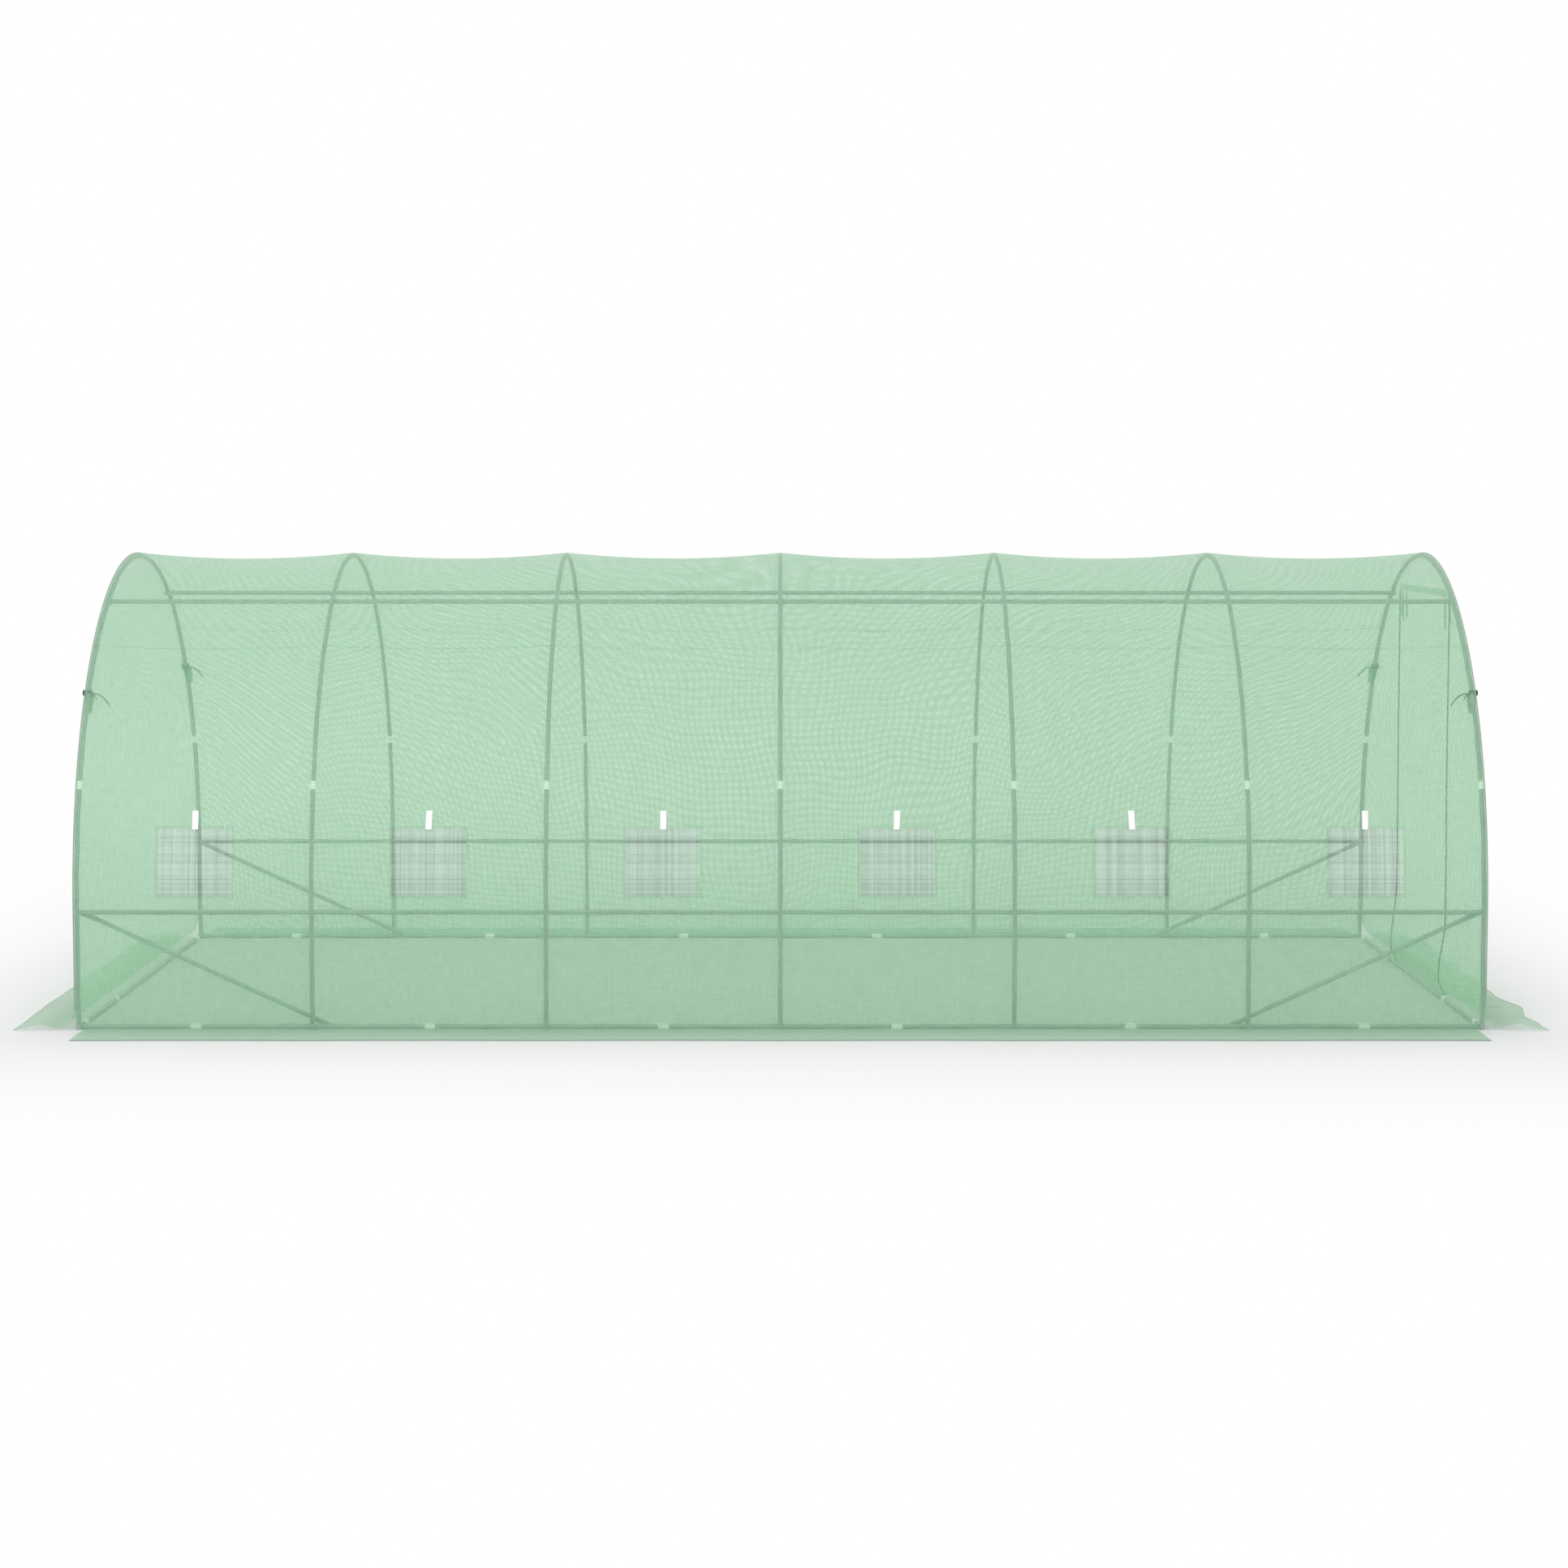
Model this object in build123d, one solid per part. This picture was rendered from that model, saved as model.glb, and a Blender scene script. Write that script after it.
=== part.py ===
from build123d import *
import math
import os

# Polytunnel greenhouse: a woven film cover stretched over seven bent tube hoops.
# X runs along the tunnel, Y across it and Z up. The origin is on the ground, under the middle.
# The front side is at -Y, and the end with the zipped door is at +X. All lengths are in millimetres.

# Tube frame
frame_length = 6000.0
frame_width = 3000.0
leg_height = 500.0
tube_diameter = 20.0
bay_count = 6
tube_sides = 8
bend_step = 4.0

# Collars that join each arch to its two legs, at an angle above the top of the straight leg
collar_angle = 21.0
collar_length = 36.0
collar_wall = 2.0

# Tubes that run along the tunnel inside the hoops, and the sleeves that join the ground tubes
purlin_angle = 62.0
coupling_length = 45.0
coupling_wall = 2.0
end_coupling_shares = (-0.92, -0.47, 0.47, 0.92)

# Braces of the end bays, flattened and bolted at both ends
brace_tail = 70.0
brace_tab_length = 55.0
brace_tab_thickness = 5.0

# Laces that tie the cover to the end hoops: a band round the tube, a knot and a loose tail.
# The tail's route is its reach into the tunnel and its height, both from the knot.
tie_angle = 38.0
tie_width = 8.0
tie_wall = 1.6
knot_size = 12.0
lace_diameter = 6.0
lace_sides = 6
lace_route = ((0, 0), (22, 0), (44, -9), (64, -27), (80, -51))
lace_bend_share = 0.45

# Film cover: thickness, how far it draws in between two hoops, and the lengthwise welds
film_thickness = 3.0
sheet_sag = 20.0
sag_shares = (0.0, 1.0, 1.0)
facet_count = 30
weld_fold = 8

# Net windows of the front sheet, above the side rail, and the tab that holds each flap
window_width = 318.0
window_height = 335.0
window_rise = 70.0
tab_width = 26.0
tab_length = 80.0
tab_thickness = 2.0
tab_overlap = 50.0

# Zipped door of the right end
door_width = 1180.0
door_headroom = 185.0
zip_width = 24.0
zip_thickness = 5.0
hem_height = 30.0
hem_thickness = 1.5

# Skirts that lie on the ground all round
side_skirt_width = 300.0
end_skirt_width = 250.0
side_skirt_inset = 35.0
end_skirt_reach = 48.0
skirt_corner_radius = 60.0

# Clearances between pieces that rest on each other, and the overrun of cuts
fit_gap = 0.3
cut_overrun = 10.0

# Sizes that follow from those above
tube_radius = tube_diameter / 2
half_length = frame_length / 2
half_width = frame_width / 2
frame_height = leg_height + half_width
hoop_radius = half_width - tube_radius
rail_radius = hoop_radius - tube_diameter - fit_gap
brace_offset = rail_radius - tube_diameter
end_hoop_x = half_length - tube_radius
hoop_pitch = 2 * end_hoop_x / bay_count
hoop_places = [hoop_pitch * number - end_hoop_x for number in range(bay_count + 1)]
bay_centres = [place + hoop_pitch / 2 for place in hoop_places[:bay_count]]
film_stand_off = fit_gap + collar_wall + fit_gap
film_radius = half_width + film_stand_off
film_outside = film_radius + film_thickness
wall_inside = half_length + film_stand_off
wall_outside = wall_inside + film_thickness
facet_angle = 180 / facet_count
spring_line = Axis((0, 0, leg_height), (-1, 0, 0))


def radial_plane(angle, place=0):
    """A plane across the arch: local Y points out from the spring line at an angle above the front."""
    turn = math.radians(angle)
    normal = (0, -math.sin(turn), -math.cos(turn))
    return Plane(origin=(place, 0, leg_height), x_dir=(1, 0, 0), z_dir=normal)


def on_arch(angle, radius):
    """The Y and Z of a point of the arch, at an angle above the front spring line."""
    turn = math.radians(angle)
    return -radius * math.cos(turn), leg_height + radius * math.sin(turn)


def tube_section(diameter):
    """The eight-sided section of a tube, with flats that face the pieces beside it."""
    return RegularPolygon(diameter / 2, tube_sides, major_radius=False, rotation=180 / tube_sides)


def touching_angles():
    """The angles where a hoop touches its circle: at every fitting, and in even steps between them."""
    angles = [0.0]
    for fitting in (collar_angle, tie_angle, purlin_angle, 90.0):
        start = angles[-1]
        steps = max(1, round((fitting - start) / bend_step))
        angles += [start + (fitting - start) * (number + 1) / steps for number in range(steps)]
    return angles + [180 - angle for angle in angles[-2::-1]]


def hoop_section(place, angle, radius=hoop_radius):
    """The section of a hoop tube at an angle above the front spring line."""
    return radial_plane(angle, place) * Pos(0, radius) * tube_section(tube_diameter)


def hoop_bends(place, first_angle, last_angle):
    """The sections at the bends of a hoop, where its short flats meet, between two touching angles."""
    kept = [angle for angle in touching_angles() if first_angle <= angle <= last_angle]
    sections = []
    for before, after in zip(kept[:-1], kept[1:]):
        bend_radius = hoop_radius / math.cos(math.radians(after - before) / 2)
        sections.append(hoop_section(place, (before + after) / 2, bend_radius))
    return sections


def hoop_sleeve(place, angle, length, wall):
    """A sleeve round the hoop tube, with its middle at an angle above the front spring line."""
    bore = tube_diameter + 2 * fit_gap
    ring = tube_section(bore + 2 * wall) - tube_section(bore)
    middle = radial_plane(angle, place) * Pos(0, hoop_radius) * ring
    return extrude(middle, amount=length / 2, both=True)


def straight_tube(start, end, diameter=tube_diameter):
    """A straight tube between two points, with its flats square to Y."""
    run = Vector(*end) - Vector(*start)
    plane = Plane(origin=start, x_dir=(0, 1, 0), z_dir=run)
    return extrude(plane * tube_section(diameter), amount=run.length)


def other_side(solids):
    """The same pieces on the back of the tunnel."""
    return [mirror(solid, about=Plane.XZ) for solid in solids]


def other_end(solids):
    """The same pieces at the other end of the tunnel."""
    return [mirror(solid, about=Plane.YZ) for solid in solids]


# Hoops: an arch on two legs, with a collar at each joint

def hoop_leg(place):
    """One front leg: straight up from the ground, then bent as far as the middle of the collar."""
    foot = Pos(0, 0, -leg_height) * hoop_section(place, 0)
    bends = hoop_bends(place, 0, collar_angle)
    return loft([foot] + bends + [hoop_section(place, collar_angle)], ruled=True)


def hoop_arch(place):
    """One arch, from the middle of its front collar to the middle of its back collar."""
    start = hoop_section(place, collar_angle)
    end = hoop_section(place, 180 - collar_angle)
    return loft([start] + hoop_bends(place, collar_angle, 180 - collar_angle) + [end], ruled=True)


arches = [hoop_arch(place) for place in hoop_places]
front_legs = [hoop_leg(place) for place in hoop_places]
front_collars = [hoop_sleeve(place, collar_angle, collar_length, collar_wall) for place in hoop_places]


# Tubes along the tunnel: on the ground, at the top of the legs and under the roof

def rail(offset, height, half_run):
    """A tube along the tunnel at one height."""
    return straight_tube((-half_run, offset, height), (half_run, offset, height))


rail_end = end_hoop_x - tube_radius
front_ground_rail = rail(-rail_radius, tube_radius, rail_end)
front_side_rail = rail(-rail_radius, leg_height, half_length)

purlin_y, purlin_z = on_arch(purlin_angle, rail_radius)
outward = radial_plane(purlin_angle).y_dir
purlin_start = Plane(origin=(-half_length, purlin_y, purlin_z), x_dir=outward, z_dir=(1, 0, 0))
front_purlin = extrude(purlin_start * tube_section(tube_diameter), amount=frame_length)

cross_half = hoop_radius - tube_radius
cross_plane = Plane(origin=(end_hoop_x, -cross_half, tube_radius), x_dir=(1, 0, 0), z_dir=(0, 1, 0))
right_ground_rail = extrude(cross_plane * tube_section(tube_diameter), amount=2 * cross_half)


def rail_coupling(x, y, way, side):
    """A sleeve on a ground rail that runs along way, cut flat where it lies on the ground."""
    bore = tube_diameter + 2 * fit_gap
    middle = Vector(x, y, tube_radius)
    plane = Plane(origin=middle - Vector(*way) * (coupling_length / 2), x_dir=side, z_dir=way)
    ring = tube_section(bore + 2 * coupling_wall) - tube_section(bore)
    sleeve = extrude(plane * ring, amount=coupling_length)
    above_ground = Pos(x, y, 0) * Box(
        frame_width, frame_width, frame_height, align=(Align.CENTER, Align.CENTER, Align.MIN)
    )
    return sleeve & above_ground


front_couplings = [rail_coupling(place, -rail_radius, (1, 0, 0), (0, 1, 0)) for place in bay_centres]
right_places = [cross_half * share for share in end_coupling_shares]
right_couplings = [rail_coupling(end_hoop_x, place, (0, 1, 0), (1, 0, 0)) for place in right_places]


# Braces: from the end hoop at rail height down to the foot of the second hoop

def front_right_brace():
    """A tube between two flattened ends, lying on the inner side of the rails."""
    top = Vector(end_hoop_x - tube_radius, -brace_offset, leg_height)
    foot = Vector(hoop_places[-2] - brace_tail, -brace_offset, tube_radius)
    slope = (foot - top).normalized()
    body = straight_tube(top + slope * brace_tab_length, foot - slope * brace_tab_length)
    outer_face = brace_offset + tube_radius
    for end, way in ((top, slope), (foot, -slope)):
        seat = Plane(origin=(end.X, -outer_face, end.Z), x_dir=way, z_dir=(0, 1, 0))
        tab = seat * Rectangle(brace_tab_length, tube_diameter, align=(Align.MIN, Align.CENTER))
        body += extrude(tab, amount=brace_tab_thickness)
    return body


right_front_brace = front_right_brace()


# Laces: a knotted band round each side of the end hoops, with a tail that droops into the tunnel

knot_outside = hoop_radius - tube_radius - fit_gap
knot_y, knot_z = on_arch(tie_angle, knot_outside - knot_size / 2)


def front_right_tie():
    """A band round the right end hoop, with the knot on the inner side of the tube."""
    band = hoop_sleeve(end_hoop_x, tie_angle, tie_width, tie_wall)
    seat = radial_plane(tie_angle, end_hoop_x) * Pos(0, knot_outside)
    return band + seat * Box(knot_size, knot_size, tie_width, align=(Align.CENTER, Align.MAX, Align.CENTER))


def front_right_lace():
    """The loose tail of the tie, from the inner face of its knot."""
    face = end_hoop_x - knot_size / 2
    points = [Vector(face - reach, knot_y, knot_z + height) for reach, height in lace_route]
    runs = [after - before for before, after in zip(points[:-1], points[1:])]
    bends = []
    for before, after in zip(runs[:-1], runs[1:]):
        turn = math.radians(before.get_angle(after))
        bends.append(lace_bend_share * min(before.length, after.length) / math.tan(turn / 2))
    print("lace bend radii", [round(bend) for bend in bends])
    path = FilletPolyline(*points, radius=bends)
    start = Plane(origin=points[0], x_dir=(0, 1, 0), z_dir=runs[0])
    return sweep(start * RegularPolygon(lace_diameter / 2, lace_sides), path=path)


right_tie = front_right_tie()
right_lace = front_right_lace()


# Cover: three welded strips, drawn in between the hoops

def cover_line(offset):
    """The stations of the film along the tunnel, with the distance of its face from the spring line."""
    stations = [(-wall_inside, film_radius + offset)]
    for place in hoop_places[:bay_count]:
        for number, share in enumerate(sag_shares):
            step = hoop_pitch * number / len(sag_shares)
            stations.append((place + step, film_radius + offset - sheet_sag * share))
    stations.append((end_hoop_x, film_radius + offset))
    stations.append((wall_inside, film_radius + offset))
    return stations


def film_line(radius, first_fold, last_fold):
    """Points across the film: flat facets that touch a circle, from one facet's middle to another's."""
    corners = [facet_angle * (number + 1 / 2) for number in range(first_fold, last_fold)]
    middle = [on_arch(angle, radius / math.cos(math.radians(facet_angle / 2))) for angle in corners]
    start = on_arch(facet_angle * first_fold, radius)
    end = on_arch(facet_angle * last_fold, radius)
    if first_fold == 0:
        start = (-radius, 0)
    if last_fold == facet_count:
        end = (radius, 0)
    return [start] + middle + [end]


def cover_strip(first_fold, last_fold):
    """A strip of film between two folds, lofted straight from station to station."""
    sections = []
    for (place, inside), (_, outside) in zip(cover_line(0), cover_line(film_thickness)):
        inner = film_line(inside, first_fold, last_fold)
        outer = film_line(outside, first_fold, last_fold)
        outline = [(place, y, z) for y, z in inner + outer[::-1]]
        sections.append(make_face(Polyline(*outline, close=True)))
    return loft(sections, ruled=True)


def window_opening(place):
    """The block that one window takes out of the front strip."""
    lower_edge = (Align.CENTER, Align.MAX, Align.MIN)
    block = Box(window_width, half_width + cut_overrun, window_height, align=lower_edge)
    return Pos(place, -half_width / 2, leg_height + window_rise) * block


side_sheet = cover_strip(0, weld_fold)
window_blocks = [window_opening(place) for place in bay_centres]
front_sheet = side_sheet
for block in window_blocks:
    front_sheet = front_sheet - block
window_nets = [side_sheet & block for block in window_blocks]
back_sheet = mirror(side_sheet, about=Plane.XZ)
roof_sheet = cover_strip(weld_fold, facet_count - weld_fold)


def window_tab(place):
    """A strip of hook tape on the film, hanging over the top edge of a window."""
    surface = (film_outside - sheet_sag) / math.cos(math.radians(facet_angle / 2)) + fit_gap
    top = leg_height + window_rise + window_height - tab_overlap + tab_length
    top_angle = math.degrees(math.asin((top - leg_height) / surface))
    foot_angle = math.degrees(math.asin((top - tab_length - leg_height) / surface))
    tape = Rectangle(tab_width, tab_thickness, align=(Align.CENTER, Align.MIN))
    section = radial_plane(foot_angle, place) * Pos(0, surface) * tape
    return revolve(section, spring_line, top_angle - foot_angle)


window_tabs = [window_tab(place) for place in bay_centres]


# End walls: flat film over the end hoops, the right one with the door

wall_plane = Plane(origin=(wall_inside, 0, 0), x_dir=(0, 1, 0), z_dir=(1, 0, 0))
wall_outline = make_face(Polyline(*film_line(film_outside, 0, facet_count), close=True))
plain_wall = extrude(wall_plane * wall_outline, amount=film_thickness)
door_height = frame_height - door_headroom


def door_strip(centre, width, thickness, foot=0):
    """An upright strip of the door, from its foot to the door's top."""
    strip = Pos(centre, foot) * Rectangle(width, door_height - foot, align=(Align.CENTER, Align.MIN))
    return extrude(wall_plane * strip, amount=thickness)


doorway = door_strip(0, door_width + zip_width, film_thickness)
right_end_wall = plain_wall - doorway
left_end_wall = mirror(plain_wall, about=Plane.YZ)
door_panel = door_strip(0, door_width - zip_width, film_thickness)
zip_places = (-door_width / 2, door_width / 2)
door_zips = [door_strip(place, zip_width, zip_thickness, film_thickness) for place in zip_places]

hem_plane = Plane(origin=(wall_outside, 0, door_height), x_dir=(0, 1, 0), z_dir=(1, 0, 0))
hem_strip = Rectangle(door_width, hem_height, align=(Align.CENTER, Align.MIN))
door_hem = extrude(hem_plane * hem_strip, amount=hem_thickness)


# Skirts: film that turns out from the foot of each wall and lies on the ground

def front_skirt_piece():
    """The front skirt, with its inner edge along the film of the side wall."""
    edge = [(place, -radius) for place, radius in cover_line(film_thickness)]
    far = -(half_width + side_skirt_width)
    outline = edge + [(wall_inside, far), (-wall_inside, far)]
    whole = extrude(make_face(Polyline(*outline, close=True)), amount=film_thickness)
    kept = Pos(0, far) * Rectangle(
        2 * (half_length - side_skirt_inset), frame_width, align=(Align.CENTER, Align.MIN)
    )
    return whole & extrude(kept, amount=film_thickness)


def right_skirt_piece():
    """The right skirt, along the foot of the end wall, with rounded outer corners."""
    sheet = Pos(wall_outside, 0) * Rectangle(
        end_skirt_width, 2 * (half_width + end_skirt_reach), align=(Align.MIN, Align.CENTER)
    )
    outer_corners = sheet.vertices().group_by(Axis.X)[-1]
    return extrude(fillet(outer_corners, skirt_corner_radius), amount=film_thickness)


front_skirt = front_skirt_piece()
right_skirt = right_skirt_piece()


# Every node, with the back and the left end mirrored from the front and the right end

nodes = {f"hoop_arch_{number + 1}": [arch] for number, arch in enumerate(arches)}
nodes["front_legs"] = front_legs
nodes["back_legs"] = other_side(front_legs)
nodes["front_collars"] = front_collars
nodes["back_collars"] = other_side(front_collars)
nodes["front_ground_rail"] = [front_ground_rail]
nodes["back_ground_rail"] = other_side([front_ground_rail])
nodes["right_ground_rail"] = [right_ground_rail]
nodes["left_ground_rail"] = other_end([right_ground_rail])
nodes["front_couplings"] = front_couplings
nodes["back_couplings"] = other_side(front_couplings)
nodes["end_couplings"] = right_couplings + other_end(right_couplings)
nodes["front_side_rail"] = [front_side_rail]
nodes["back_side_rail"] = other_side([front_side_rail])
nodes["front_purlin"] = [front_purlin]
nodes["back_purlin"] = other_side([front_purlin])
nodes["front_right_brace"] = [right_front_brace]
nodes["front_left_brace"] = other_end([right_front_brace])
nodes["back_right_brace"] = other_side([right_front_brace])
nodes["back_left_brace"] = other_end(other_side([right_front_brace]))
right_ties = [right_tie] + other_side([right_tie])
nodes["hoop_ties"] = right_ties + other_end(right_ties)
nodes["front_right_lace"] = [right_lace]
nodes["front_left_lace"] = other_end([right_lace])
nodes["back_right_lace"] = other_side([right_lace])
nodes["back_left_lace"] = other_end(other_side([right_lace]))
nodes["front_sheet"] = [front_sheet]
nodes["roof_sheet"] = [roof_sheet]
nodes["back_sheet"] = [back_sheet]
nodes["left_end_wall"] = [left_end_wall]
nodes["right_end_wall"] = [right_end_wall]
nodes["door_panel"] = [door_panel]
nodes["door_zips"] = door_zips
nodes["door_hem"] = [door_hem]
nodes["window_nets"] = window_nets
nodes["window_tabs"] = window_tabs
nodes["front_skirt"] = [front_skirt]
nodes["back_skirt"] = other_side([front_skirt])
nodes["right_skirt"] = [right_skirt]
nodes["left_skirt"] = other_end([right_skirt])

os.makedirs("parts", exist_ok=True)
for name, shapes in nodes.items():
    solids = [solid for shape in shapes for solid in shape.solids()]
    export_step(Compound(solids), f"parts/{name}.step")
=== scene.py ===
import math

import bpy
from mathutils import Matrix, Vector, noise


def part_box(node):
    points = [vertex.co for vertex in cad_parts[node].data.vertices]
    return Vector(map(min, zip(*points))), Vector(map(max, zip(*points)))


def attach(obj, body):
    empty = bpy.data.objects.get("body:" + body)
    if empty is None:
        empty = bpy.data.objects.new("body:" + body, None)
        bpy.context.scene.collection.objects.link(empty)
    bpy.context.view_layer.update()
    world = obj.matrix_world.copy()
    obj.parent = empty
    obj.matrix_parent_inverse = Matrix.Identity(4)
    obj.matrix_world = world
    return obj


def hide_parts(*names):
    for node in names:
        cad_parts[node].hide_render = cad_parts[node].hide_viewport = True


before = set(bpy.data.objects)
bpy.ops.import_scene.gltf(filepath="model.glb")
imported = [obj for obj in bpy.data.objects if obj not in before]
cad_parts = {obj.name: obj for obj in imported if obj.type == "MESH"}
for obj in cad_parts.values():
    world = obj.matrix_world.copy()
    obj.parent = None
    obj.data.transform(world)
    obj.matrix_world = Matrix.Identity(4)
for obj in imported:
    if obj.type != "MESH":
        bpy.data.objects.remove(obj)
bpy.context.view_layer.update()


# Hoops: seven arches of galvanised steel tube, 20 mm across, that carry the whole cover.
# Each is cold-bent from straight tube to most of a half circle, so the zinc keeps its faint
# spangle, and both ends are pushed into collars on the legs.

class Wire:
    """A socket of a material, with arithmetic that adds Math nodes."""

    def __init__(self, tree, socket=None):
        self.tree = tree
        self.socket = socket

    def add(self, kind, settings, sockets, output=0):
        """A new node: its settings first, then the values or links of its sockets."""
        node = self.tree.nodes.new(kind)
        for name, value in settings.items():
            setattr(node, name, value)
        for name, value in sockets.items():
            if isinstance(value, Wire):
                self.tree.links.new(value.socket, node.inputs[name])
            else:
                node.inputs[name].default_value = value
        return Wire(self.tree, node.outputs[output] if len(node.outputs) else None)

    def out(self, name):
        """Another output of the same node."""
        return Wire(self.tree, self.socket.node.outputs[name])

    def to(self, operation, *others):
        """A Math node on this value."""
        return self.add("ShaderNodeMath", {"operation": operation}, dict(enumerate((self,) + others)))

    def between(self, first, second):
        """A colour that goes from the first to the second as this value goes from 0 to 1."""
        ends = {0: self, 6: first, 7: second}
        return self.add("ShaderNodeMix", {"data_type": "RGBA"}, ends, 2)

    def __add__(self, other):
        return self.to("ADD", other)

    def __sub__(self, other):
        return self.to("SUBTRACT", other)

    def __rsub__(self, other):
        return (self * -1) + other

    def __mul__(self, other):
        return self.to("MULTIPLY", other)

    __radd__ = __add__
    __rmul__ = __mul__


def new_finish(name):
    """An empty material, with a wire to add its nodes to."""
    material = bpy.data.materials.new(name)
    material.use_nodes = True
    material.node_tree.nodes.clear()
    return material, Wire(material.node_tree)


def tint(red, green, blue):
    """A colour as it looks on a screen, 0 to 255, as the light it stands for."""
    shares = [part / 255 for part in (red, green, blue)]
    return tuple(s / 12.92 if s < 0.04 else ((s + 0.055) / 1.055) ** 2.4 for s in shares) + (1.0,)


def soft_noise(place, scale, detail):
    """Soft noise over a surface: its scale, and how many finer layers it has."""
    return place.add("ShaderNodeTexNoise", {}, {"Vector": place, "Scale": scale, "Detail": detail})


def surface(sockets, height, strength, depth):
    """A lit surface with the given sockets, in relief by a height."""
    relief = {"Height": height, "Strength": strength, "Distance": depth}
    bump = height.add("ShaderNodeBump", {}, relief)
    return height.add("ShaderNodeBsdfPrincipled", {}, {**sockets, "Normal": bump})


def finished(material, shader):
    """The material, with its shader put on the output."""
    shader.add("ShaderNodeOutputMaterial", {}, {"Surface": shader})
    return material


def zinc_finish():
    """Hot-dip zinc: grey patches of spangle, a soft cloud of dulling and fine marks along the tube."""
    material, paint = new_finish("galvanised_tube")
    place = paint.add("ShaderNodeTexCoord", {}, {}).out("Object")
    spangle = paint.add("ShaderNodeTexVoronoi", {}, {"Vector": place, "Scale": 160.0}).out("Color")
    patches = spangle.add("ShaderNodeSeparateColor", {}, {0: spangle})
    cloud = soft_noise(place, 9.0, 4.0)
    marks = soft_noise(place, 420.0, 2.0)
    tone = patches * 0.45 + cloud * 0.55
    shade = tone.between(tint(142, 149, 149), tint(188, 193, 192))
    rough = patches * 0.12 + marks * 0.14 + 0.36
    sockets = {"Base Color": shade, "Roughness": rough, "Metallic": 0.4}
    sockets.update({"Coat Weight": 0.6, "Coat Roughness": 0.14})
    return finished(material, surface(sockets, marks + patches, 0.06, 0.0006))


def ring(centre, across, upward, sides=20):
    """Points round one section of a tube."""
    turns = [2 * math.pi * n / sides for n in range(sides)]
    return [centre + across * math.cos(turn) + upward * math.sin(turn) for turn in turns]


def skin(shape, rings, joined=False):
    """Faces over a row of rings: closed by its two ends, or joined from the last ring to the first."""
    points, faces = shape
    sides = len(rings[0])
    start = len(points)
    for loop in rings:
        points.extend(loop)
    rows = len(rings) if joined else len(rings) - 1
    for row in range(rows):
        here = start + row * sides
        there = start + (row + 1) % len(rings) * sides
        for n in range(sides):
            m = (n + 1) % sides
            faces.append((here + n, here + m, there + m, there + n))
    if not joined:
        faces.append(tuple(reversed(range(start, start + sides))))
        faces.append(tuple(range(len(points) - sides, len(points))))


def tube(shape, path, across, radius):
    """A hollow tube along a path that stays square to the direction across."""
    ways = [(b - a).normalized() for a, b in zip(path[:-1], path[1:])]
    turns = [ways[0]] + [(a + b).normalized() for a, b in zip(ways[:-1], ways[1:])] + [ways[-1]]
    bore = radius - tube_wall
    sections = [(path[0] + turns[0] * bore_depth, turns[0], bore), (path[0], turns[0], bore)]
    sections += [(place, way, radius) for place, way in zip(path, turns)]
    sections += [(path[-1], turns[-1], bore), (path[-1] - turns[-1] * bore_depth, turns[-1], bore)]
    skin(shape, [ring(place, across * r, way.cross(across) * r) for place, way, r in sections])


def make_piece(name, shape, material, nodes=(), marks=None):
    """A mesh of points and faces as one piece of the greenhouse, in place of its solids."""
    mesh = bpy.data.meshes.new(name)
    mesh.from_pydata(shape[0], [], shape[1])
    if marks:
        layer = mesh.uv_layers.new(name="weave")
        for corner in mesh.loops:
            layer.data[corner.index].uv = marks[corner.vertex_index]
    mesh.polygons.foreach_set("use_smooth", [True] * len(mesh.polygons))
    mesh.set_sharp_from_angle(angle=crease_angle)
    mesh.materials.append(material)
    piece = bpy.data.objects.new(name, mesh)
    bpy.context.scene.collection.objects.link(piece)
    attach(piece, "root")
    if nodes:
        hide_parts(*nodes)
    return piece


tube_wall = 0.0012
bore_depth = 0.04
crease_angle = math.radians(38)
hoop_count = 7
arch_steps = 72
along = Vector((1, 0, 0))
across = Vector((0, 1, 0))
up = Vector((0, 0, 1))

arch_boxes = [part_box(f"hoop_arch_{n + 1}") for n in range(hoop_count)]
hoop_places = [(low.x + high.x) / 2 for low, high in arch_boxes]
hoop_pitch = hoop_places[1] - hoop_places[0]
tube_radius = (arch_boxes[0][1].x - arch_boxes[0][0].x) / 2
leg_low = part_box("front_legs")[0]
hoop_radius = -leg_low.y - tube_radius
spring_height = arch_boxes[0][1].z - tube_radius - hoop_radius
collar_low, collar_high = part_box("front_collars")
collar_angle = math.asin(((collar_low.z + collar_high.z) / 2 - spring_height) / hoop_radius)
zinc = zinc_finish()


def on_hoop(place, angle, inward=0.0):
    """A point of a hoop's centre line, or inside it, at an angle above the top of its front leg."""
    radius = hoop_radius - inward
    return Vector((place, -radius * math.cos(angle), spring_height + radius * math.sin(angle)))


arch_turn = math.pi - 2 * collar_angle
for number, place in enumerate(hoop_places):
    path = [on_hoop(place, collar_angle + arch_turn * n / arch_steps) for n in range(arch_steps + 1)]
    arch = ([], [])
    tube(arch, path, along, tube_radius)
    make_piece(f"arch_tube_{number + 1}", arch, zinc, [f"hoop_arch_{number + 1}"])


# Legs: the straight feet of the hoops, of the same tube, standing on the ground in two rows.
# Each is bent over at its top and pushed into the collar that joins it to the arch.

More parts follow.
